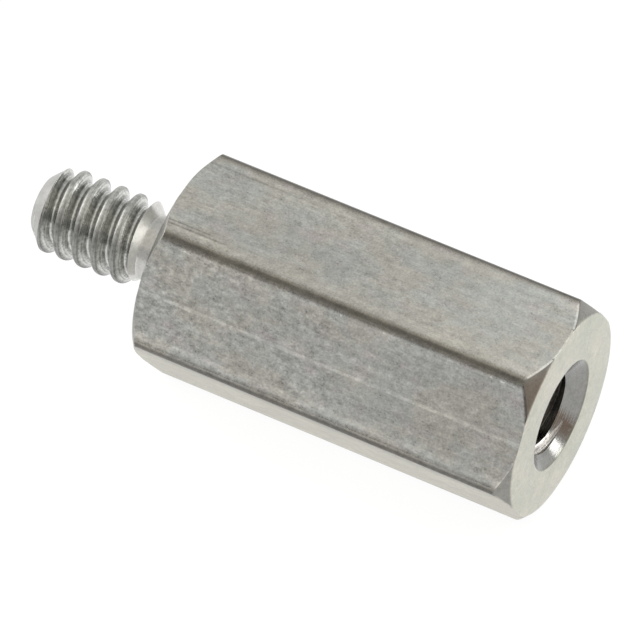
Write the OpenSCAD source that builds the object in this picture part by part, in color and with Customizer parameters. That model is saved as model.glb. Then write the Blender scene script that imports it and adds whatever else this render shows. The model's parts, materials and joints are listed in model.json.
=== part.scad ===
// Hex standoff: a spacer made in one piece from drawn hexagonal aluminium bar.
// A turned stud with an external thread leaves a square shoulder at one end, and a
// countersunk blind hole enters the other. The long hexagonal body lies on one flat.
//
// X runs along the axis, from the stud's end to the hole's mouth. Z is up. The origin
// is at the middle of the overall length and width, on the surface that it lies on.
// The outlines below are half sections: X is the radius, and Y is the distance from the
// shoulder, positive into the body and negative along the stud.

/* [Hexagonal body] */
// Size across the flats of the bar
across_flats = 6.35; // [5.5:0.05:9]
// Length of the body, from the shoulder to the tapped end
body_length = 12.7; // [11.5:0.1:40]
// Radius of the bar's long corners
corner_radius = 0.3; // [0.1:0.05:0.5]
// How far the round edge of the tapped end's face lies outside the flats
tapped_face_reach = 0.025; // [-0.3:0.005:0.2]
// Slope of the tapped end's chamfer, from the face
tapped_chamfer_slope = 45; // [20:1:50]
// How far the round edge of the shoulder's face lies outside the flats
shoulder_face_reach = 0.025; // [-0.3:0.005:0.2]
// Slope of the shoulder's chamfer, from the face
shoulder_chamfer_slope = 36; // [20:1:50]

/* [Thread] */
// Nominal diameter of the thread, on the stud and in the hole
thread_d = 2.845; // [2.6:0.005:3.2]
// Distance from one crest of the thread to the next
thread_pitch = 0.635; // [0.4:0.005:0.7]

/* [Stud] */
// Length of the stud, from the shoulder to its end
stud_length = 4.76; // [3.5:0.01:12]
// Clearance between the stud's crests and a nominal thread, on the diameter
stud_clearance = 0.105; // [0.02:0.005:0.14]
// Chamfer at the stud's end, at 45 degrees
stud_end_chamfer = 0.5; // [0.3:0.05:0.7]
// Distance from the end chamfer to the first whole crest
first_crest_gap = 0.02; // [0:0.01:0.2]
// Length of the plain neck between the shoulder and the thread
neck_length = 1.1; // [0.6:0.05:1.6]
// Depth of the neck below the crests
neck_depth = 0.34; // [0.3:0.01:0.5]
// Radius of the fillet between the neck and the shoulder
neck_fillet = 0.42; // [0.1:0.01:0.5]

/* [Tapped hole] */
// Height of the hole's thread, from the drilled wall to the nominal radius
hole_thread_height = 0.2325; // [0.2:0.0025:0.34]
// Depth of the drilled hole, from the face to where its point begins
hole_depth = 9.5; // [4:0.1:9.8]
// Point angle of the drill
drill_point_angle = 118; // [90:1:140]
// Distance from the countersink's edge to the nominal thread
countersink_margin = 0.345; // [0.1:0.005:0.6]
// Whole angle of the countersink
countersink_angle = 100; // [82:1:120]

/* [Hidden] */
$fn = 96;

// How far the bar runs past each turned end, and a cutting outline past what it cuts
overcut = 0.05;

// Hexagonal bar
sides = 6;
side_angle = 360 / sides;
flat_r = across_flats / 2;
corner_centre_r = (flat_r - corner_radius) / cos(side_angle / 2);
flat_width = 2 * corner_centre_r * sin(side_angle / 2);
blank_r = flat_r / cos(side_angle / 2);

// End chamfers
tapped_face_r = flat_r + tapped_face_reach;
tapped_chamfer = (blank_r - tapped_face_r) * tan(tapped_chamfer_slope);
shoulder_face_r = flat_r + shoulder_face_reach;
shoulder_chamfer = (blank_r - shoulder_face_r) * tan(shoulder_chamfer_slope);

// Thread of the unified form: flanks at 60 degrees, crests an eighth of the pitch wide at
// the nominal diameter and wider below it, and roots 17/24 of a sharp thread's height deep
flank_slope = tan(30);
groove_depth = thread_pitch / 2 / flank_slope * 17 / 24;
root_r = thread_d / 2 - groove_depth;
root_width = thread_pitch * 7 / 8 - 2 * groove_depth * flank_slope;
crest_width = thread_pitch / 8 + stud_clearance * flank_slope;

// Stud
stud_r = (thread_d - stud_clearance) / 2;
neck_r = stud_r - neck_depth;
first_crest = stud_end_chamfer + first_crest_gap + crest_width / 2;
last_groove = floor((stud_length - first_crest - neck_length) / thread_pitch + 1 / 2);

// Tapped hole
drill_r = thread_d / 2 - hole_thread_height;
drill_point = drill_r / tan(drill_point_angle / 2);
countersink_r = thread_d / 2 + countersink_margin;
countersink_depth = (countersink_r - drill_r) / tan(countersink_angle / 2);

// Section of the bar: three crossed bands between the flats, and a round at each corner
module bar_section() {
    for (i = [0 : sides / 2 - 1])
        rotate(side_angle * i)
            square([flat_width, across_flats], center = true);
    for (i = [0 : sides - 1])
        rotate(side_angle * i)
            translate([corner_centre_r, 0])
                circle(corner_radius);
}

module bar() {
    translate([0, 0, -stud_length - overcut])
        linear_extrude(stud_length + body_length + 2 * overcut)
            bar_section();
}

// Body between its two end chamfers
module body_outline() {
    polygon([
        [0, 0],
        [shoulder_face_r, 0],
        [blank_r, shoulder_chamfer],
        [blank_r, body_length - tapped_chamfer],
        [tapped_face_r, body_length],
        [0, body_length]
    ]);
}

// Stud before its thread is cut: the chamfered end, the crests' cylinder, the relief cone
// and the neck
module stud_outline() {
    polygon([
        [0, -stud_length],
        [stud_r - stud_end_chamfer, -stud_length],
        [stud_r, -stud_length + stud_end_chamfer],
        [stud_r, -neck_length - neck_depth],
        [neck_r, -neck_length],
        [neck_r, 0],
        [0, 0]
    ]);
}

// Metal between the neck and the shoulder
module fillet_outline() {
    difference() {
        translate([neck_r, -neck_fillet])
            square(neck_fillet);
        translate([neck_r + neck_fillet, -neck_fillet])
            circle(neck_fillet);
    }
}

// One groove of the thread, with its middle at Y = 0
module groove_outline() {
    mouth_r = stud_r + overcut;
    mouth_width = root_width + 2 * (mouth_r - root_r) * flank_slope;
    polygon([
        [root_r, -root_width / 2],
        [mouth_r, -mouth_width / 2],
        [mouth_r, mouth_width / 2],
        [root_r, root_width / 2]
    ]);
}

// Everything that is turned on the outside
module turned_outline() {
    difference() {
        union() {
            body_outline();
            stud_outline();
            fillet_outline();
        }
        for (i = [0 : last_groove])
            translate([0, -stud_length + first_crest + thread_pitch * (i - 1 / 2)])
                groove_outline();
    }
}

// Countersink, drilled wall and drill point
module hole_outline() {
    polygon([
        [0, body_length + overcut],
        [countersink_r, body_length + overcut],
        [countersink_r, body_length],
        [drill_r, body_length - countersink_depth],
        [drill_r, body_length - hole_depth],
        [0, body_length - hole_depth - drill_point]
    ]);
}

module hex_standoff() {
    color([0.66, 0.65, 0.63])
        translate([(stud_length - body_length) / 2, 0, flat_r])
            rotate([90, 0, 90])
                difference() {
                    intersection() {
                        bar();
                        rotate_extrude()
                            turned_outline();
                    }
                    rotate_extrude()
                        hole_outline();
                }
}

hex_standoff();
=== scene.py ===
"""Hex standoff: a male-female spacer drawn and turned from hexagonal aluminium bar.

The piece is modelled the way it is machined: a drawn bar, a turned outline that cuts its
ends and its stud, a drilled and countersunk hole, and two right-hand threads. It stands
for the plain solid hex_standoff, at the same size and place.
"""

import json
import math

import bmesh
import bpy
from bpy.props import FloatProperty, FloatVectorProperty, IntProperty, PointerProperty
from mathutils import Matrix, Vector


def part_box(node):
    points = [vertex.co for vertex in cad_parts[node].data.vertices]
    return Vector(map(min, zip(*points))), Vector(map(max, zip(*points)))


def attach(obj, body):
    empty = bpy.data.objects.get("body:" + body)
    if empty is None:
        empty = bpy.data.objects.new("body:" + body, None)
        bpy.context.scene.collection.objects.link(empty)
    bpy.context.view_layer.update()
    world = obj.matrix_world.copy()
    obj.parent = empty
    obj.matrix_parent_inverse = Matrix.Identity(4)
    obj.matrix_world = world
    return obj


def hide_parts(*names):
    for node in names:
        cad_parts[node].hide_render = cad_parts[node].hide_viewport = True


bl_info = {
    "name": "Hex standoff",
    "version": (1, 0, 0),
    "blender": (4, 5, 0),
    "location": "View3D > Sidebar > Standoff",
    "description": "Models an aluminium hex standoff with its threads, and a stage for it",
    "category": "Object",
}

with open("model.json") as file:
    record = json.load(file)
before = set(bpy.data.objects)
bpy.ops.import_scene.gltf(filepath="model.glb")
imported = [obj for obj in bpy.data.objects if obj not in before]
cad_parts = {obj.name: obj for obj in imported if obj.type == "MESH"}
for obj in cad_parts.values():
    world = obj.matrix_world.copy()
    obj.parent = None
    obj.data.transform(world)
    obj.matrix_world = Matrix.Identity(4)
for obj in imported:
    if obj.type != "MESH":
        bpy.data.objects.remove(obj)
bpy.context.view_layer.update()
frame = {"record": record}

NODE = "hex_standoff"
MOUNTS = {mount["name"]: mount for mount in frame["record"]["mounts"]}
LOWEST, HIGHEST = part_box(NODE)

MM = 0.001
FULL_TURN = 2 * math.pi
X_AXIS = Vector((1, 0, 0))
SIDES = 6
HALF_SIDE = math.radians(180 / SIDES)

# Each surface keeps the finish of what cut it: the drawing die, a turning tool, or one of
# the two tools that cut the threads
DRAWN, TURNED, THREADED, TAPPED = range(4)

# Where the shoulder is in the frame, in metres. The piece is modelled in millimetres, with
# its axis on X and the shoulder at 0: the stud runs to negative X and the body to positive.
SHOULDER = MOUNTS["shoulder"]["pos_m"][0]
BODY_LENGTH = (MOUNTS["tapped_face"]["pos_m"][0] - SHOULDER) / MM
STUD_LENGTH = (SHOULDER - LOWEST.x) / MM
FLAT_R = (HIGHEST.z - LOWEST.z) / 2 / MM
STUD_R = MOUNTS["stud"]["dims"]["r_mm"]
DRILL_R = MOUNTS["tapped_hole"]["dims"]["r_mm"]
DRILL_END = (
    (MOUNTS["tapped_hole"]["pos_m"][0] - SHOULDER) / MM
    - MOUNTS["tapped_hole"]["dims"]["length_mm"] / 2
)

# Points nearer than this, in millimetres, are one point
SAME_POINT = 1e-4
# A thread's flank, along the axis for each unit of its depth
FLANK_SLOPE = math.tan(math.radians(30))
# Facets of a thread in one turn
THREAD_STEPS = 96


class StandoffSizes(bpy.types.PropertyGroup):
    """Sizes of the standoff that the frame doesn't give, in metres and radians."""

    corner_radius: FloatProperty(
        name="Corner radius", description="Radius of the bar's long corners",
        default=0.3 * MM, unit="LENGTH",
    )
    tapped_reach: FloatProperty(
        name="Tapped face reach",
        description="How far the tapped face's round edge is past the flats",
        default=0.025 * MM, unit="LENGTH",
    )
    tapped_slope: FloatProperty(
        name="Tapped end slope", description="Slope of the tapped end's chamfer from its face",
        default=math.radians(45), unit="ROTATION",
    )
    shoulder_reach: FloatProperty(
        name="Shoulder reach", description="How far the shoulder's round edge is past the flats",
        default=0.025 * MM, unit="LENGTH",
    )
    shoulder_slope: FloatProperty(
        name="Shoulder slope", description="Slope of the shoulder's chamfer from its face",
        default=math.radians(36), unit="ROTATION",
    )
    tapped_edge: FloatProperty(
        name="Tapped edge",
        description="Width of the broken edge between the flats and the tapped end",
        default=0.06 * MM, unit="LENGTH",
    )
    shoulder_edge: FloatProperty(
        name="Shoulder edge",
        description="Width of the broken edge between the flats and the shoulder",
        default=0.03 * MM, unit="LENGTH",
    )
    thread_pitch: FloatProperty(
        name="Thread pitch", description="Distance from one crest to the next",
        default=0.635 * MM, unit="LENGTH",
    )
    stud_root: FloatProperty(
        name="Stud root",
        description="From the shoulder to the middle of a root, on top of the stud",
        default=0.295 * MM, unit="LENGTH",
    )
    hole_groove: FloatProperty(
        name="Hole groove",
        description="From the tapped face to the middle of a groove, at the hole's top",
        default=-0.0046 * MM, unit="LENGTH",
    )
    thread_radius: FloatProperty(
        name="Thread radius",
        description="Nominal radius of both threads, to which the hole's is cut",
        default=1.4225 * MM, unit="LENGTH",
    )
    neck_radius: FloatProperty(
        name="Neck radius", description="Radius of the plain neck beside the shoulder",
        default=1.03 * MM, unit="LENGTH",
    )
    neck_length: FloatProperty(
        name="Neck length",
        description="From the shoulder to where the thread's relief cone starts",
        default=1.1 * MM, unit="LENGTH",
    )
    neck_fillet: FloatProperty(
        name="Neck fillet", description="Fillet between the neck and the shoulder",
        default=0.42 * MM, unit="LENGTH",
    )
    stud_chamfer: FloatProperty(
        name="Stud chamfer", description="Chamfer at the stud's end",
        default=0.5 * MM, unit="LENGTH",
    )
    countersink_radius: FloatProperty(
        name="Countersink radius", description="Radius of the countersink at the face",
        default=1.7675 * MM, unit="LENGTH",
    )
    countersink_angle: FloatProperty(
        name="Countersink angle", description="Whole angle of the countersink",
        default=math.radians(100), unit="ROTATION",
    )
    drill_point: FloatProperty(
        name="Drill point", description="Whole angle of the drill's point",
        default=math.radians(118), unit="ROTATION",
    )
    tapped_depth: FloatProperty(
        name="Tapped depth", description="Depth of the hole's thread",
        default=8 * MM, unit="LENGTH",
    )
    face_steps: IntProperty(
        name="Steps", description="Facets of a turned surface in one turn",
        default=240, min=48,
    )


class StandoffColours(bpy.types.PropertyGroup):
    """Colours of the standoff's metal, which lines, marks, wear and painted light and shade make
    lighter or darker.
    """

    flats: FloatVectorProperty(
        name="Flats", description="Colour of the drawn flats where they are cool",
        default=(0.5, 0.51, 0.49), subtype="COLOR",
    )
    warm_flats: FloatVectorProperty(
        name="Warm flats", description="Colour of the drawn flats where they are warm",
        default=(0.52, 0.505, 0.46), subtype="COLOR",
    )
    ends: FloatVectorProperty(
        name="Ends", description="Colour of the shoulder, the neck and the stud's end",
        default=(0.62, 0.615, 0.59), subtype="COLOR",
    )
    tapped_face: FloatVectorProperty(
        name="Tapped face", description="Colour of the face round the countersink",
        default=(0.525, 0.53, 0.455), subtype="COLOR",
    )
    # Darker than the ends: partly a rougher cut finish, partly painted shade
    stud_thread: FloatVectorProperty(
        name="Stud thread", description="Colour of the stud's thread",
        default=(0.44, 0.442, 0.424), subtype="COLOR",
    )
    # Much lighter than the stud's thread: painted light that brightens the bore
    hole_thread: FloatVectorProperty(
        name="Hole thread", description="Colour of the hole's thread",
        default=(0.74, 0.71, 0.67), subtype="COLOR",
    )


# ---------------------------------------------------------------- finishes


# A Mix node's colour sockets, which share their names with its other sockets
MIX_FIRST, MIX_SECOND, MIX_RESULT = 6, 7, 2
NOISE_MIDDLE = 0.5

# Tints that the metal takes in places; the corners' tint goes with their painted shade
BLUSHED_FLAT = (0.53, 0.49, 0.48, 1)
UPPER_EDGE = (0.525, 0.505, 0.455, 1)
LOWER_FLAT = (0.495, 0.475, 0.39, 1)
CORNER_SHADE = (0.53, 0.49, 0.43, 1)
WARM_FACE = (0.555, 0.54, 0.465, 1)
CHAMFER = (0.6, 0.585, 0.535, 1)

# Scratches on the upper flat, beside the shoulder: the place across the flat, half the width,
# where along the body the scratch fades out and where it is full, and how dark it is
SCRATCHES = (
    (1.33, 0.05, 2.6, 1.6, 0.4),
    (1.2, 0.04, 2.1, 1.2, 0.32),
    (-1.35, 0.06, 3.6, 2.2, 0.25),
)


class Field:
    """A value that varies over a surface. Arithmetic on fields adds Math nodes."""

    def __init__(self, socket):
        self.socket = socket

    def add(self, kind, settings, inputs, output=0):
        """Adds any node to the field's tree and gives the field of one of its outputs."""
        return add_node(self.socket.id_data, kind, settings, inputs, output)

    def math(self, operation, *values):
        """Adds a Math node that works on the values, in their order."""
        return self.add("ShaderNodeMath", {"operation": operation}, dict(enumerate(values)))

    def __add__(self, other):
        return self.math("ADD", self, other)

    def __sub__(self, other):
        return self.math("SUBTRACT", self, other)

    def __rsub__(self, other):
        return self.math("SUBTRACT", other, self)

    def __mul__(self, other):
        return self.math("MULTIPLY", self, other)

    def __truediv__(self, other):
        return self.math("DIVIDE", self, other)

    def __abs__(self):
        return self.math("ABSOLUTE", self)

    __radd__ = __add__
    __rmul__ = __mul__

    def between(self, low, high):
        """0 at low, 1 at high, and an even curve from one to the other."""
        return self.add(
            "ShaderNodeMapRange", {"interpolation_type": "SMOOTHSTEP"},
            {"Value": self, "From Min": low, "From Max": high},
        )


def add_node(tree, kind, settings, inputs, output=0):
    """Adds a node, sets it up, fills its sockets and gives the field of one of its outputs."""
    node = tree.nodes.new(kind)
    for name, value in settings.items():
        setattr(node, name, value)
    for name, value in inputs.items():
        if isinstance(value, Field):
            tree.links.new(value.socket, node.inputs[name])
        else:
            node.inputs[name].default_value = value
    return Field(node.outputs[output])


def strip(place, middle, half):
    """1 along the middle of a line, and 0 from half its width away."""
    full = half * 0.3
    return 1 - abs(place - middle).between(full, half)


def layers(*parts):
    """The sum of noises about their middle. Each is given with how much it counts."""
    total = 0
    for noise, weight in parts:
        total = (noise - NOISE_MIDDLE) * weight + total
    return total


# Darkens or lightens a value by masks: used for real pits, and for painted shade and painted light
def darkened(value, *places):
    """A value made smaller in places, each given as a mask and the share that it takes off.

    A share below 0 makes the value larger there.
    """
    for mask, share in places:
        value = value * (1 - mask * share)
    return value


def mixed(amount, first, second):
    """Goes from the first colour to the second."""
    return amount.add(
        "ShaderNodeMix", {"data_type": "RGBA"},
        {"Factor": amount, MIX_FIRST: first, MIX_SECOND: second}, MIX_RESULT,
    )


def scaled(colour, value):
    """A colour times a value."""
    return value.add("ShaderNodeVectorMath", {"operation": "SCALE"}, {0: colour, "Scale": value})


class Surface:
    """The places of a surface, in millimetres from the shoulder and the axis."""

    def __init__(self, tree):
        metres = add_node(tree, "ShaderNodeTexCoord", {}, {}, "Object")
        self.place = metres.add(
            "ShaderNodeMapping", {"vector_type": "POINT"},
            {"Vector": metres, "Location": (-SHOULDER / MM, 0, -FLAT_R), "Scale": (1 / MM,) * 3},
        )
        self.x, self.y, self.z = (
            self.place.add("ShaderNodeSeparateXYZ", {}, {0: self.place}, axis) for axis in "XYZ"
        )
        squared = self.y * self.y + self.z * self.z
        self.radius = squared.math("SQRT", squared)
        self.angle = self.z.math("ARCTAN2", self.z, self.y)

    def noise(self, lumps, detail, seed, roughness=0.5, length=1):
        """Noise with so many lumps to the millimetre, drawn out along the bar by length."""
        vector = self.place.add(
            "ShaderNodeMapping", {"vector_type": "POINT"},
            {"Vector": self.place, "Scale": (lumps / length, lumps, lumps)},
        )
        return vector.add(
            "ShaderNodeTexNoise", {"noise_dimensions": "4D"},
            {"Vector": vector, "W": seed, "Scale": 1, "Detail": detail, "Roughness": roughness},
        )

    def flat(self, facing):
        """A place's distance from the middle of the flat that faces an angle, and a mask of it."""
        turn = math.radians(facing)
        across = self.z * math.cos(turn) - self.y * math.sin(turn)
        outward = self.y * math.cos(turn) + self.z * math.sin(turn)
        return across, outward.between(FLAT_R - 0.03, FLAT_R - 0.01)

    def across_flat(self):
        """How far a place is from the middle of its flat, to either side."""
        turned = self.angle.math("FLOORED_MODULO", self.angle, 2 * HALF_SIDE) - HALF_SIDE
        return abs(self.radius * turned.math("SINE", turned))


def metal(name, make):
    """A metal whose colour, roughness and height come from make."""
    material = bpy.data.materials.get(name)
    if material:
        return material
    material = bpy.data.materials.new(name)
    material.use_nodes = True
    tree = material.node_tree
    shader = tree.nodes["Principled BSDF"]
    shader.inputs["Metallic"].default_value = 1
    colour, roughness, height, depth = make(Surface(tree))
    bump = height.add("ShaderNodeBump", {}, {"Height": height, "Strength": 1, "Distance": depth})
    tree.links.new(colour.socket, shader.inputs["Base Color"])
    tree.links.new(roughness.socket, shader.inputs["Roughness"])
    tree.links.new(bump.socket, shader.inputs["Normal"])
    return material


def drawn(surface):
    """Satin flats with fine lengthwise lines, mottling and small pits, painted shade on the
    corners and the lower flat, and painted light and shade along the top and front flats.
    """
    colours = bpy.context.scene.standoff_colours
    face_reach = bpy.context.scene.standoff_sizes.tapped_reach / MM
    along = surface.x
    lines = surface.noise(14, 3, seed=1, roughness=0.6, length=20)
    dashes = surface.noise(5, 3, seed=2, roughness=0.6, length=5)
    mottle = surface.noise(4, 5, seed=3, roughness=0.75, length=1.25)
    grain = surface.noise(17, 3, seed=9, roughness=0.7, length=1.2)
    clouds = surface.noise(0.7, 3, seed=4, roughness=0.6, length=1.6)
    blotches = surface.noise(1.5, 3, seed=12, roughness=0.6, length=2.5)
    warmth = surface.noise(0.9, 3, seed=6, roughness=0.6, length=1.8)
    blush = surface.noise(1.6, 3, seed=7, roughness=0.6, length=1.6)
    scuffs = surface.noise(6, 4, seed=8, roughness=0.7, length=1.4)
    pits = surface.noise(8, 2, seed=5, length=1.5).between(0.34, 0.27)
    specks = surface.noise(5, 2, seed=11).between(0.62, 0.68)
    aside = surface.across_flat()
    # Painted shade: the long corners are darker, a painted dark reflection along them
    corner = aside.between(1.55, 1.73)
    ridge = aside.between(1.685, 1.785)
    stripe = aside.between(1.22, 1.42) * (1 - aside.between(1.44, 1.58))
    top, on_top = surface.flat(90)
    front, on_front = surface.flat(150)
    under, on_under = surface.flat(210)
    past_face = surface.radius - FLAT_R - face_reach
    from_chamfer = BODY_LENGTH - along - past_face.math("MAXIMUM", past_face, 0)
    # The top flat is lighter along its edge at the tapped end: partly real burnish, partly a
    # painted highlight
    burnish_and_highlight = on_top * from_chamfer.between(0.075, 0.035)
    worn = clouds.between(0.42, 0.58) * 0.5 + on_front * along.between(9, 4) * 0.5
    value = 1 + stripe * 0.08 + layers(
        (lines, 0.34), (dashes, 0.34), (mottle, 1), (grain, 1.1), (clouds, 0.2), (blotches, 0.25),
        (scuffs, worn * 2),
    )
    # Marks of the drawing die and of handling
    broken_line = 0.19 + dashes.between(0.4, 0.6) * 0.1
    value = value + on_front * strip(front, 0.1, 0.08) * broken_line
    value = value + on_front * strip(front, 1.45, 0.16) * 0.14
    value = value + on_front * strip(front, -1.6, 0.07) * (0.1 + specks * 0.5)
    # Painted shade and painted light along the body: the front flat darker and the top flat
    # lighter towards the tapped end
    value = value - on_front * along.between(7, 12) * 0.06
    value = value + on_top * along.between(6.5, 11) * 0.16
    # Scratches from handling
    for middle, half, faded, full, depth in SCRATCHES:
        value = value - on_top * strip(top, middle, half) * along.between(faded, full) * depth
    # Painted shade: the lower flat is darker, and darker still towards its lowest edge
    value = value - on_under * (0.07 + under.between(-0.9, -1.6) * 0.3)
    value = darkened(value, (corner, 0.48), (ridge, 0.5), (pits, 0.18), (burnish_and_highlight, -0.45))
    hue = mixed(warmth.between(0.4, 0.6), (*colours.flats, 1), (*colours.warm_flats, 1))
    hue = mixed(blush.between(0.5, 0.7) * 0.7, hue, BLUSHED_FLAT)
    hue = mixed(on_top * top.between(0.9, 1.4) * 0.7, hue, UPPER_EDGE)
    hue = mixed(on_under * 0.85, hue, LOWER_FLAT)
    # Painted shade on the corners, with its tint
    hue = mixed(corner * 0.6, hue, CORNER_SHADE)
    roughness = 0.34 + layers((mottle, 0.3), (grain, 0.3)) - corner * 0.1
    height = lines * 0.4 + mottle * 0.5 + grain * 0.4 + dashes * 0.4 - pits * 0.6
    return scaled(hue, value), roughness, height, 0.004 * MM


def turned(surface):
    """Faced and chamfered ends with fine turning rings, painted shade on the end chamfers, the
    countersink and the stud's tip, and painted light on the relief cone.
    """
    sizes = bpy.context.scene.standoff_sizes
    colours = bpy.context.scene.standoff_colours
    along = surface.x
    neck_end = -sizes.neck_length / MM
    sink_r = sizes.countersink_radius / MM
    rings = surface.radius.add(
        "ShaderNodeTexNoise", {"noise_dimensions": "1D"},
        {"W": surface.radius * 14 + along * 9, "Scale": 1, "Detail": 3},
    )
    mottle = surface.noise(4, 5, seed=6, roughness=0.75)
    grain = surface.noise(16, 3, seed=8, roughness=0.7)
    clouds = surface.noise(0.9, 3, seed=9)
    face = along.between(BODY_LENGTH - 0.06, BODY_LENGTH - 0.02)
    bevel = surface.radius.between(FLAT_R + 0.03, FLAT_R + 0.08)
    tapped_end = along.between(BODY_LENGTH - 3, BODY_LENGTH - 2)
    inside = surface.radius.between(sink_r + 0.0325, sink_r - 0.0275) * tapped_end
    neck = along.between(neck_end - 0.05, neck_end + 0.05) * (1 - along.between(-0.1, 0.1))
    relief = along.between(neck_end + 0.1, neck_end)
    relief = relief * along.between(neck_end - 0.5, neck_end - 0.35)
    tip = along.between(-STUD_LENGTH + 0.7, -STUD_LENGTH + 0.6)
    value = 1 + layers((rings, 0.16), (mottle, 0.8), (grain, 0.6), (clouds, 0.25))
    # Painted shade on the end chamfers (bevel), the countersink (inside) and the stud's tip,
    # painted light on the relief cone, and a slightly darker neck
    value = darkened(
        value, (bevel, 0.54), (inside, 0.57), (neck, 0.15), (tip, 0.32), (relief, -0.08),
    )
    cream = mixed(clouds.between(0.35, 0.65), (*colours.tapped_face, 1), WARM_FACE)
    hue = mixed(bevel, mixed(face, (*colours.ends, 1), cream), CHAMFER)
    roughness = 0.32 + layers((mottle, 0.3)) - inside * 0.19 - relief * 0.12
    height = rings * 0.7 + mottle * 0.8 + grain * 0.4
    return scaled(hue, value), roughness, height, 0.005 * MM


def thread_lines(surface, inmost):
    """Fine lines along a right-hand thread, which is nearest the axis at inmost, on top."""
    pitch = bpy.context.scene.standoff_sizes.thread_pitch / MM
    top = 0.25
    turns = (surface.x - inmost) / pitch - surface.angle / FULL_TURN + top
    profile = turns * FULL_TURN
    vector = profile.add("ShaderNodeCombineXYZ", {}, {
        "X": profile.math("COSINE", profile) * 2.2,
        "Y": profile.math("SINE", profile) * 2.2,
        "Z": surface.y * 0.5,
    })
    return vector.add(
        "ShaderNodeTexNoise", {"noise_dimensions": "4D"},
        {"Vector": vector, "W": surface.z * 0.5, "Scale": 1, "Detail": 5, "Roughness": 0.75},
    )


def cut_thread(surface, inmost, outer, tint, flank_roughness, outer_roughness):
    """Shiny metal with lines along the thread and duller patches.

    outer masks the crests of a stud or the grooves of a hole, which are rougher and a little
    darker, with painted shade that deepens away from the top.
    """
    lines = thread_lines(surface, inmost)
    torn = surface.noise(9, 4, seed=7, roughness=0.7)
    patches = surface.noise(2.2, 3, seed=8).between(0.42, 0.62)
    lower_shade = surface.z.between(1.15, 0.75)
    value = 1 + layers((lines, 4.4), (torn, 2.2))
    # Painted shade: outer is darker away from the top
    value = darkened(value, (outer, 0.02 + lower_shade * 0.4))
    roughness = flank_roughness + layers((lines, 0.6), (torn, 0.4)) + patches * 0.08
    roughness = roughness + outer * outer_roughness
    return scaled(tint, value), roughness, lines + torn * 0.5, 0.008 * MM


def stud_thread(surface):
    """The stud's thread."""
    inmost = -bpy.context.scene.standoff_sizes.stud_root / MM
    crest = surface.radius.between(STUD_R - 0.1, STUD_R - 0.02)
    tint = tuple(bpy.context.scene.standoff_colours.stud_thread)
    return cut_thread(
        surface, inmost, crest, tint, flank_roughness=0.12, outer_roughness=0.26,
    )


def hole_thread(surface):
    """The hole's thread, which is nearest the axis half a turn from its grooves."""
    sizes = bpy.context.scene.standoff_sizes
    inmost = BODY_LENGTH - (sizes.hole_groove - sizes.thread_pitch / 2) / MM
    groove = surface.radius.between(DRILL_R + 0.03, DRILL_R + 0.15)
    tint = tuple(bpy.context.scene.standoff_colours.hole_thread)
    return cut_thread(
        surface, inmost, groove, tint, flank_roughness=0.26, outer_roughness=0.1,
    )


def finishes():
    """The four finishes, in the order of their numbers."""
    return (
        metal("drawn_flats", drawn),
        metal("turned_faces", turned),
        metal("stud_thread", stud_thread),
        metal("hole_thread", hole_thread),
    )


# ---------------------------------------------------------------- shapes


def half_section(points):
    """A chain of edges through points given as (place along the axis, radius)."""
    bm = bmesh.new()
    corners = [bm.verts.new((x, 0, r)) for x, r in points]
    for start, end in zip(corners, corners[1:]):
        bm.edges.new((start, end))
    return bm, corners


def round_corner(bm, corner, length, segments=3):
    """Rounds one corner of a half section. length is how far the arc reaches along each side."""
    bmesh.ops.bevel(
        bm, geom=[corner], offset=length, offset_type="OFFSET", segments=segments,
        profile=0.5, affect="VERTICES", material=-1,
    )


def close_up(bm):
    """Merges doubled points and turns every face outwards."""
    bmesh.ops.remove_doubles(bm, verts=bm.verts, dist=SAME_POINT)
    bmesh.ops.dissolve_degenerate(bm, edges=bm.edges, dist=SAME_POINT)
    bmesh.ops.recalc_face_normals(bm, faces=bm.faces)


def turn(bm, steps):
    """Turns a half section once round the axis, into a solid."""
    bmesh.ops.spin(
        bm, geom=bm.verts[:] + bm.edges[:], cent=(0, 0, 0), axis=X_AXIS,
        angle=FULL_TURN, steps=steps, use_merge=True,
    )
    close_up(bm)


def cut_square(bm, x, outward):
    """Cuts an open tube off at x, on the side that outward points to, and closes it."""
    on_plane = 1e-6
    cut = bmesh.ops.bisect_plane(
        bm, geom=bm.verts[:] + bm.edges[:] + bm.faces[:], dist=on_plane,
        plane_co=(x, 0, 0), plane_no=outward, clear_outer=True,
    )
    rim = [item for item in cut["geom_cut"] if isinstance(item, bmesh.types.BMEdge)]
    bmesh.ops.contextual_create(bm, geom=rim)


def screw_thread(bm, pitch, start, end):
    """Screws one pitch of a thread's half section into a rod from start to end.

    The half section begins at least a pitch before start.
    """
    spare_turns = 3
    bmesh.ops.spin(
        bm, geom=bm.verts[:] + bm.edges[:], cent=(0, 0, 0), axis=X_AXIS,
        dvec=X_AXIS * (pitch / THREAD_STEPS), angle=FULL_TURN, steps=THREAD_STEPS,
    )
    one_turn = bm.verts[:] + bm.edges[:] + bm.faces[:]
    for number in range(1, math.ceil((end - start) / pitch) + spare_turns):
        copy = bmesh.ops.duplicate(bm, geom=one_turn)
        moved = [item for item in copy["geom"] if isinstance(item, bmesh.types.BMVert)]
        bmesh.ops.translate(bm, verts=moved, vec=X_AXIS * (pitch * number))
    bmesh.ops.remove_doubles(bm, verts=bm.verts, dist=SAME_POINT)
    cut_square(bm, start, -X_AXIS)
    cut_square(bm, end, X_AXIS)
    close_up(bm)


def as_object(bm, name, finish):
    """Makes an object of the mesh, with one finish all over it."""
    mesh = bpy.data.meshes.new(name)
    for face in bm.faces:
        face.material_index = finish
    bm.to_mesh(mesh)
    for material in finishes():
        mesh.materials.append(material)
    bm.free()
    piece = bpy.data.objects.new(name, mesh)
    bpy.context.scene.collection.objects.link(piece)
    return piece


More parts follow.
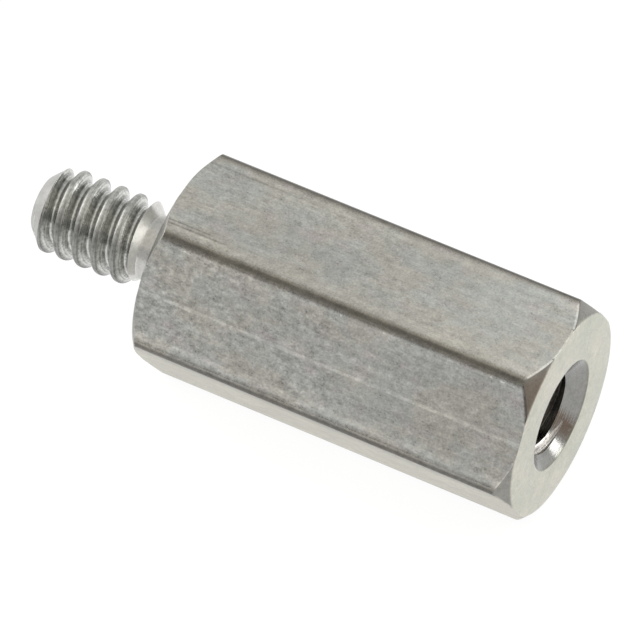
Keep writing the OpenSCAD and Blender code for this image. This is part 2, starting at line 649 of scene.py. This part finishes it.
def apply_modifiers(piece):
    """Makes the result of a piece's modifiers its own mesh."""
    depsgraph = bpy.context.evaluated_depsgraph_get()
    result = bpy.data.meshes.new_from_object(piece.evaluated_get(depsgraph))
    piece.modifiers.clear()
    used = piece.data
    piece.data = result
    bpy.data.meshes.remove(used)


def combine(piece, other, operation):
    """Adds other to the piece, cuts it away or keeps what they share. other is used up."""
    step = piece.modifiers.new("combine", "BOOLEAN")
    step.operation = operation
    step.object = other
    step.solver = "EXACT"
    apply_modifiers(piece)
    used = other.data
    bpy.data.objects.remove(other)
    bpy.data.meshes.remove(used)
    bm = bmesh.new()
    bm.from_mesh(piece.data)
    close_up(bm)
    bm.to_mesh(piece.data)
    bm.free()


def drawn_bar(sizes):
    """The hexagonal bar with rounded corners, longer than the body at both ends."""
    before, after = 2, 1
    bm = bmesh.new()
    bmesh.ops.create_circle(
        bm, segments=SIDES, radius=FLAT_R / math.cos(HALF_SIDE), cap_ends=True,
    )
    bmesh.ops.bevel(
        bm, geom=bm.verts[:], offset=sizes.corner_radius / MM * math.tan(HALF_SIDE),
        offset_type="OFFSET", segments=12, profile=0.5, affect="VERTICES", material=-1,
    )
    on_axis = Matrix.Rotation(math.radians(90), 3, "Y")
    bmesh.ops.rotate(bm, verts=bm.verts, cent=(0, 0, 0), matrix=on_axis)
    bmesh.ops.translate(bm, verts=bm.verts, vec=X_AXIS * -before)
    far = bmesh.ops.extrude_face_region(bm, geom=bm.faces[:])
    moved = [item for item in far["geom"] if isinstance(item, bmesh.types.BMVert)]
    bmesh.ops.translate(bm, verts=moved, vec=X_AXIS * (before + BODY_LENGTH + after))
    bmesh.ops.recalc_face_normals(bm, faces=bm.faces)
    return as_object(bm, "bar", DRAWN)


def turned_body(sizes):
    """Everything turned and drilled about the axis, apart from the thread of the stud."""
    spare = 0.05
    core_overlap = 0.1
    shoulder_round, face_round, sink_round = 0.01, 0.035, 0.03
    blank_r = FLAT_R / math.cos(HALF_SIDE) + spare
    face_r = FLAT_R + sizes.tapped_reach / MM
    shoulder_r = FLAT_R + sizes.shoulder_reach / MM
    face_slope = (blank_r - face_r) * math.tan(sizes.tapped_slope)
    shoulder_slope = (blank_r - shoulder_r) * math.tan(sizes.shoulder_slope)
    neck_r = sizes.neck_radius / MM
    core_end = -sizes.neck_length / MM - core_overlap
    sink_r = sizes.countersink_radius / MM
    sink_depth = (sink_r - DRILL_R) / math.tan(sizes.countersink_angle / 2)
    point = DRILL_R / math.tan(sizes.drill_point / 2)
    bm, corners = half_section([
        (core_end, 0),
        (core_end, neck_r),
        (0, neck_r),
        (0, shoulder_r),
        (shoulder_slope, blank_r),
        (BODY_LENGTH - face_slope, blank_r),
        (BODY_LENGTH, face_r),
        (BODY_LENGTH, sink_r),
        (BODY_LENGTH - sink_depth, DRILL_R),
        (DRILL_END, DRILL_R),
        (DRILL_END - point, 0),
    ])
    round_corner(bm, corners[2], sizes.neck_fillet / MM, segments=8)
    round_corner(bm, corners[3], shoulder_round)
    round_corner(bm, corners[6], face_round)
    round_corner(bm, corners[7], sink_round)
    turn(bm, sizes.face_steps)
    return as_object(bm, "turned_body", TURNED)


def thread_profile(pitch, nominal_r, crest_r, root_r, crest_round, root_round):
    """One pitch of a 60 degree thread, from the middle of a root to the next.

    At the nominal radius the crest is an eighth of the pitch wide, and a crest that is cut
    down to less is wider.
    """
    crest = pitch / 8 + 2 * (nominal_r - crest_r) * FLANK_SLOPE
    flank = (crest_r - root_r) * FLANK_SLOPE
    root = pitch - crest - 2 * flank
    bm, corners = half_section([
        (0, root_r),
        (root / 2, root_r),
        (root / 2 + flank, crest_r),
        (root / 2 + flank + crest, crest_r),
        (pitch - root / 2, root_r),
        (pitch, root_r),
    ])
    for corner in (corners[2], corners[3]):
        round_corner(bm, corner, crest_round)
    for corner in (corners[1], corners[4]):
        round_corner(bm, corner, root_round)
    return bm


def threaded_stud(sizes):
    """The stud from the neck's relief cone to its chamfered end, with its thread.

    The roots are 17/24 of a sharp thread's height deep.
    """
    thread_round, end_round = 0.045, 0.04
    rod_overrun, rod_end = 0.5, -0.6
    spare = 0.1
    pitch = sizes.thread_pitch / MM
    depth = pitch / 2 / FLANK_SLOPE * 17 / 24
    nominal_r = sizes.thread_radius / MM
    bm = thread_profile(
        pitch, nominal_r, STUD_R, nominal_r - depth, thread_round, thread_round,
    )
    first = -sizes.stud_root / MM - pitch * math.ceil((STUD_LENGTH + pitch) / pitch)
    bmesh.ops.translate(bm, verts=bm.verts, vec=X_AXIS * first)
    screw_thread(bm, pitch, -STUD_LENGTH - rod_overrun, rod_end)
    rod = as_object(bm, "rod", THREADED)
    chamfer = sizes.stud_chamfer / MM
    inner_r = sizes.neck_radius / MM - spare
    outer_r = STUD_R + spare
    relief_end = -sizes.neck_length / MM + spare
    bm, corners = half_section([
        (-STUD_LENGTH, 0),
        (-STUD_LENGTH, STUD_R - chamfer),
        (-STUD_LENGTH + chamfer + spare, outer_r),
        (relief_end - (outer_r - inner_r), outer_r),
        (relief_end, inner_r),
        (relief_end, 0),
    ])
    round_corner(bm, corners[1], end_round)
    turn(bm, sizes.face_steps)
    envelope = as_object(bm, "envelope", TURNED)
    combine(rod, envelope, "INTERSECT")
    return rod


def tap(sizes):
    """The solid that cuts the hole's thread. Its own roots lie inside the drilled hole."""
    crest_round, root_round = 0.02, 0.01
    root_clearance, overrun = 0.06, 0.5
    pitch = sizes.thread_pitch / MM
    nominal_r = sizes.thread_radius / MM
    depth = sizes.tapped_depth / MM
    bm = thread_profile(
        pitch, nominal_r, nominal_r, DRILL_R - root_clearance, crest_round, root_round,
    )
    groove = BODY_LENGTH - sizes.hole_groove / MM
    turns = math.ceil(depth / pitch) + 1
    bmesh.ops.translate(bm, verts=bm.verts, vec=X_AXIS * (groove - (turns + 0.5) * pitch))
    screw_thread(bm, pitch, BODY_LENGTH - depth, BODY_LENGTH + overrun)
    return as_object(bm, "tap", TAPPED)


def break_edges(piece, sizes):
    """Rounds the edges between the drawn bar and the end chamfers, where these have room."""
    least_chamfer = 0.04
    bm = bmesh.new()
    bm.from_mesh(piece.data)
    ends = ((sizes.shoulder_edge / MM, 0), (sizes.tapped_edge / MM, BODY_LENGTH))
    for width, end in ends:
        edges = []
        for edge in bm.edges:
            middle = (edge.verts[0].co + edge.verts[1].co) / 2
            chamfer = math.hypot(middle.y, middle.z) - FLAT_R - sizes.tapped_reach / MM
            at_this_end = abs(middle.x - end) < BODY_LENGTH / 2
            cut_by = {face.material_index for face in edge.link_faces}
            if at_this_end and chamfer > least_chamfer and cut_by == {DRAWN, TURNED}:
                edges.append(edge)
        bmesh.ops.bevel(
            bm, geom=edges, offset=width, offset_type="OFFSET", segments=3, profile=0.5,
            affect="EDGES", material=-1, clamp_overlap=False,
        )
    close_up(bm)
    bm.to_mesh(piece.data)
    bm.free()


def shade(piece):
    """Smooth shading that keeps the flats flat and real edges sharp."""
    sharp_angle = math.radians(28)
    for face in piece.data.polygons:
        face.use_smooth = True
    piece.data.set_sharp_from_angle(angle=sharp_angle)
    step = piece.modifiers.new("normals", "WEIGHTED_NORMAL")
    step.mode = "FACE_AREA"
    step.weight = 100
    step.keep_sharp = True
    apply_modifiers(piece)


def make_standoff(sizes):
    """The whole piece, worked in millimetres and then put at its size and place."""
    piece = turned_body(sizes)
    combine(piece, drawn_bar(sizes), "INTERSECT")
    break_edges(piece, sizes)
    combine(piece, tap(sizes), "DIFFERENCE")
    combine(piece, threaded_stud(sizes), "UNION")
    bm = bmesh.new()
    bm.from_mesh(piece.data)
    place = Vector((SHOULDER / MM, 0, FLAT_R))
    bmesh.ops.translate(bm, verts=bm.verts, vec=place)
    bmesh.ops.scale(bm, verts=bm.verts, vec=(MM,) * 3)
    bm.to_mesh(piece.data)
    bm.free()
    shade(piece)
    return piece


# ---------------------------------------------------------------- stage


WHITE = (1, 1, 1, 1)
ROOM_GREY = (0.71, 0.71, 0.695, 1)
# Soft cards in the room that light the piece: the direction of each, the angles in degrees
# within which it shows in full and beyond which it has faded out, and its colour
CARDS = (
    ((-0.25, -0.3, 0.9), 30, 50, (0.84, 0.82, 0.76, 1)),
    ((-0.3, -0.95, 0.2), 14, 36, (0.53, 0.525, 0.515, 1)),
    ((0.6, -0.76, 0.25), 16, 34, (0.05, 0.05, 0.05, 1)),
    ((0.98, -0.1, 0.14), 14, 32, (0.54, 0.42, 0.34, 1)),
    ((-0.97, 0.05, 0.25), 12, 30, (3.7, 3.7, 3.67, 1)),
    ((0.785, 0.59, 0.17), 6, 13, (5.5, 5.48, 5.44, 1)),
)

# The floor: half its width in metres, its paper, and the white that rays from the camera and
# the metal see there, with the share of the paper that it covers
FLOOR_REACH = 0.4
PAPER = (0.9, 0.9, 0.9, 1)
PAPER_ROUGHNESS = 0.9
GLOW = 1.1
GLOW_SHARE = 0.85

# The camera: its direction from the middle of the tapped face, its roll, its distance and
# its moves to the right and up, in millimetres, and its lens
AZIMUTH = math.radians(27.464)
ELEVATION = math.radians(49.14)
ROLL = math.radians(0.8975)
DISTANCE = 268.13
MOVE_RIGHT = -7.124
MOVE_UP = 2.816
FOCAL_PIXELS = 9098.5
PICTURE_PIXELS = 640
SENSOR_WIDTH = 36


def make_world():
    """A plain room, and in it the cards, which the camera doesn't see."""
    world = bpy.data.worlds.new("studio")
    world.use_nodes = True
    tree = world.node_tree
    tree.nodes.clear()
    sight = add_node(tree, "ShaderNodeTexCoord", {}, {}, "Generated")
    colour = ROOM_GREY
    for direction, full, faded, card in CARDS:
        facing = sight.add(
            "ShaderNodeVectorMath", {"operation": "DOT_PRODUCT"},
            {0: sight, 1: Vector(direction).normalized()}, "Value",
        )
        amount = facing.between(math.cos(math.radians(faded)), math.cos(math.radians(full)))
        colour = mixed(amount, colour, card)
    seen = add_node(tree, "ShaderNodeLightPath", {}, {}, "Is Camera Ray")
    colour = mixed(seen, colour, ROOM_GREY)
    light = colour.add("ShaderNodeBackground", {}, {"Color": colour, "Strength": 1})
    tree.links.new(light.socket, tree.nodes.new("ShaderNodeOutputWorld").inputs["Surface"])
    return world


def make_floor():
    """A wide sheet, white to the camera and in the metal, that keeps a faint shadow."""
    bm = bmesh.new()
    bmesh.ops.create_grid(bm, x_segments=1, y_segments=1, size=FLOOR_REACH)
    mesh = bpy.data.meshes.new("floor")
    bm.to_mesh(mesh)
    bm.free()
    floor = bpy.data.objects.new("floor", mesh)
    bpy.context.scene.collection.objects.link(floor)
    paper = bpy.data.materials.new("paper")
    paper.use_nodes = True
    paper.cycles.emission_sampling = "NONE"
    tree = paper.node_tree
    shader = tree.nodes["Principled BSDF"]
    shader.inputs["Base Color"].default_value = PAPER
    shader.inputs["Roughness"].default_value = PAPER_ROUGHNESS
    seen = 0
    for ray in ("Is Camera Ray", "Is Glossy Ray", "Is Transmission Ray"):
        seen = add_node(tree, "ShaderNodeLightPath", {}, {}, ray) + seen
    glow = seen.add("ShaderNodeEmission", {}, {"Color": WHITE, "Strength": GLOW})
    sheet = seen.add(
        "ShaderNodeMixShader", {},
        {0: seen * GLOW_SHARE, 1: Field(shader.outputs["BSDF"]), 2: glow},
    )
    tree.links.new(sheet.socket, tree.nodes["Material Output"].inputs["Surface"])
    mesh.materials.append(paper)


def make_camera():
    """A camera in front of the piece and above it, a little towards its tapped end."""
    camera = bpy.data.objects.new("camera", bpy.data.cameras.new("camera"))
    bpy.context.scene.collection.objects.link(camera)
    back = Vector((
        math.sin(AZIMUTH) * math.cos(ELEVATION),
        -math.cos(AZIMUTH) * math.cos(ELEVATION),
        math.sin(ELEVATION),
    ))
    level = (-back).cross(Vector((0, 0, 1))).normalized()
    upright = level.cross(-back)
    right = math.cos(ROLL) * level + math.sin(ROLL) * upright
    up = -math.sin(ROLL) * level + math.cos(ROLL) * upright
    target = Vector((BODY_LENGTH * MM + SHOULDER, 0, FLAT_R * MM))
    offset = back * DISTANCE + right * MOVE_RIGHT + up * MOVE_UP
    camera.location = target + offset * MM
    camera.rotation_mode = "QUATERNION"
    camera.rotation_quaternion = Matrix((right, up, back)).transposed().to_quaternion()
    camera.data.lens = FOCAL_PIXELS * SENSOR_WIDTH / PICTURE_PIXELS
    camera.data.clip_start = 0.01
    camera.data.clip_end = 10
    return camera


# ---------------------------------------------------------------- operators


class STANDOFF_OT_piece(bpy.types.Operator):
    """Models the standoff and puts it in the place of the plain solid"""

    bl_idname = "standoff.piece"
    bl_label = "Hex standoff"

    def execute(self, context):
        piece = make_standoff(context.scene.standoff_sizes)
        piece.name = "threaded_standoff"
        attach(piece, "root")
        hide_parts(NODE)
        return {"FINISHED"}


class STANDOFF_OT_stage(bpy.types.Operator):
    """Lays the floor and sets up the camera and the room that lights the piece"""

    bl_idname = "standoff.stage"
    bl_label = "Stage"

    def execute(self, context):
        scene = context.scene
        scene.view_settings.view_transform = "Standard"
        make_floor()
        scene.world = make_world()
        scene.camera = make_camera()
        return {"FINISHED"}


class STANDOFF_PT_panel(bpy.types.Panel):
    """Shows the sizes and colours of the standoff, and the two steps that make the scene"""

    bl_idname = "STANDOFF_PT_panel"
    bl_label = "Hex standoff"
    bl_space_type = "VIEW_3D"
    bl_region_type = "UI"
    bl_category = "Standoff"

    def draw(self, context):
        layout = self.layout
        scene = context.scene
        for group in (scene.standoff_sizes, scene.standoff_colours):
            for name in type(group).__annotations__:
                layout.prop(group, name)
        layout.operator(STANDOFF_OT_piece.bl_idname)
        layout.operator(STANDOFF_OT_stage.bl_idname)


CLASSES = (StandoffSizes, StandoffColours, STANDOFF_OT_piece, STANDOFF_OT_stage, STANDOFF_PT_panel)


def register():
    for item in CLASSES:
        bpy.utils.register_class(item)
    bpy.types.Scene.standoff_sizes = PointerProperty(type=StandoffSizes)
    bpy.types.Scene.standoff_colours = PointerProperty(type=StandoffColours)


def unregister():
    del bpy.types.Scene.standoff_colours
    del bpy.types.Scene.standoff_sizes
    for item in reversed(CLASSES):
        bpy.utils.unregister_class(item)


def main():
    """Makes the scene."""
    register()
    bpy.ops.standoff.piece()
    bpy.ops.standoff.stage()


if __name__ == "__main__":
    main()
